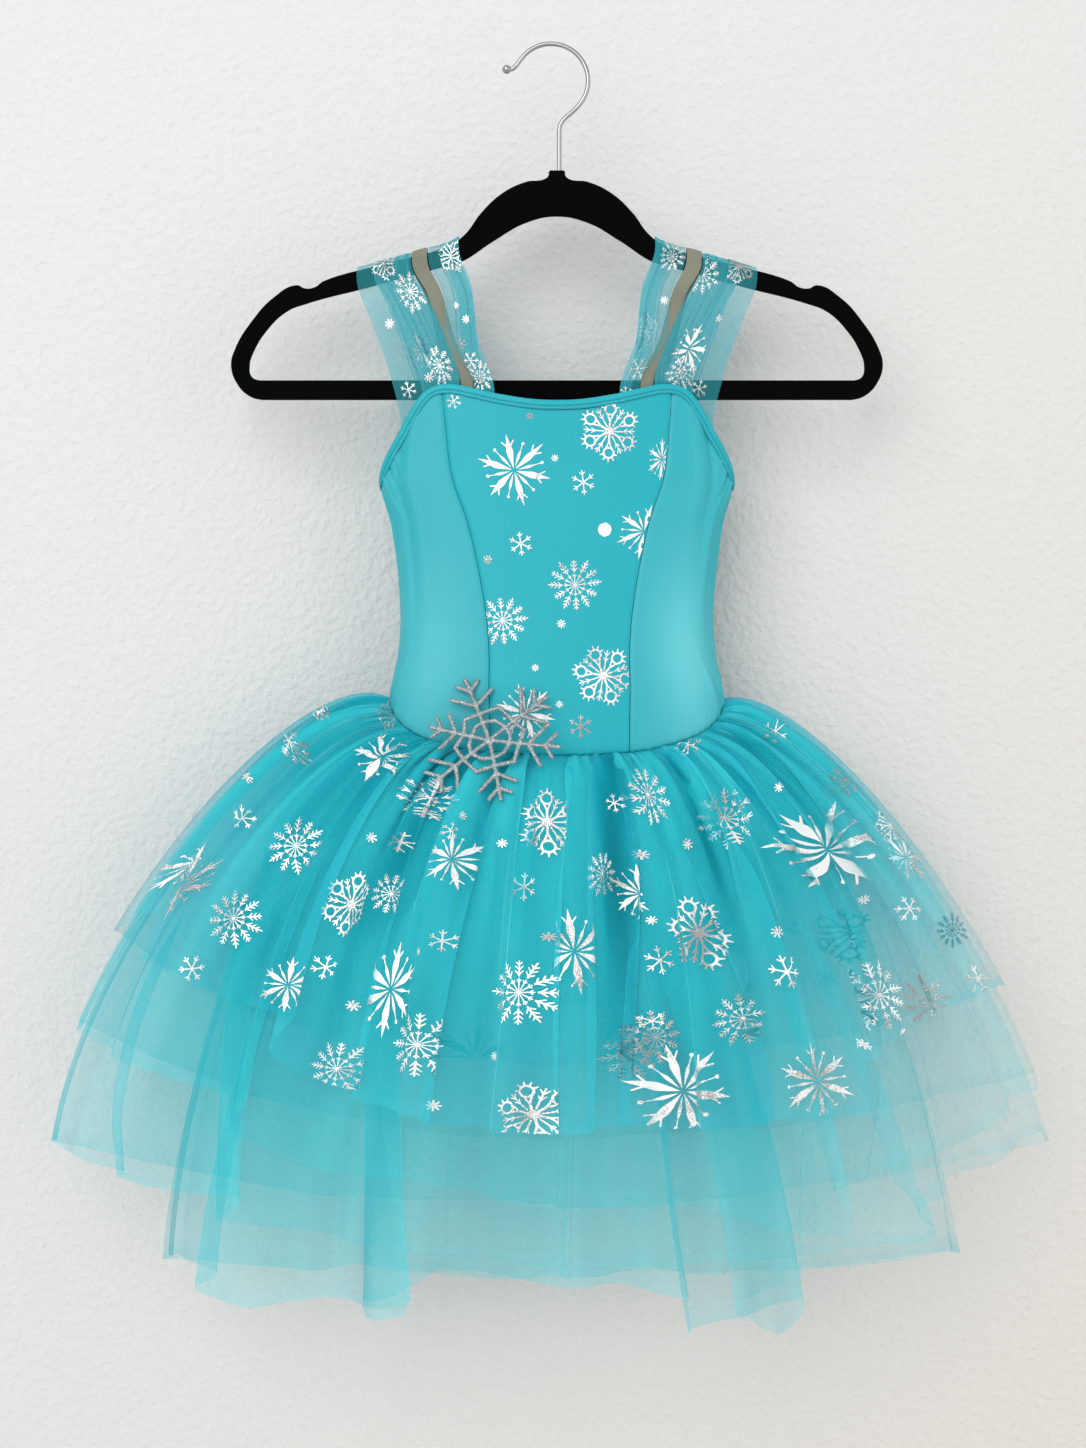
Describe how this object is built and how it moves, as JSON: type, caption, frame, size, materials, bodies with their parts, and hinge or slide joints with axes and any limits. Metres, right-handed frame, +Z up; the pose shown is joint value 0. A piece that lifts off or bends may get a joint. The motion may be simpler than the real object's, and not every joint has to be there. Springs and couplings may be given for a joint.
{
  "type": "costume dress on hanger",
  "caption": "Child's sleeveless costume dress with a fitted bodice, tulle shoulder straps and a gathered sheer skirt in tiers, hung by its straps on a flocked hanger with a wire hook.",
  "frame": {"origin": "underside of the hook's crown, where a rod or nail bears", "axes": "+Z up; the front of the dress faces -Y; +X is to the right as seen from the front"},
  "size_m": [0.6779, 0.1747, 0.864],
  "materials": {
    "foil_printed_spandex": "teal stretch knit with silver foil snowflakes",
    "plain_spandex": "lighter teal stretch knit with a sheen",
    "edge_band": "turned edge with two rows of stitching",
    "printed_tulle": "sheer aqua tulle with silver foil snowflakes",
    "plain_tulle": "sheer aqua tulle",
    "elastic": "flat woven elastic, grey beige",
    "glitter": "silver glitter on felt",
    "flock": "black flocking on plastic",
    "chrome": "bright chrome wire"
  },
  "bodies": {
    "root": {"hanger_hook": "chrome", "hanger_body": "flock", "bodice_front_centre": "foil_printed_spandex", "bodice_front_left": "plain_spandex", "bodice_front_right": "plain_spandex", "bodice_back": "plain_spandex", "edge_band": "edge_band", "strap_tulle_inner_left": "printed_tulle", "strap_tulle_inner_right": "printed_tulle", "strap_tulle_outer_left": "printed_tulle", "strap_tulle_outer_right": "printed_tulle", "strap_elastic_left": "elastic", "strap_elastic_right": "elastic", "overskirt_printed": "printed_tulle", "tulle_middle": "plain_tulle", "tulle_wide": "plain_tulle", "tulle_long": "plain_tulle", "snowflake_ornament": "glitter"}
  },
  "joints": []
}
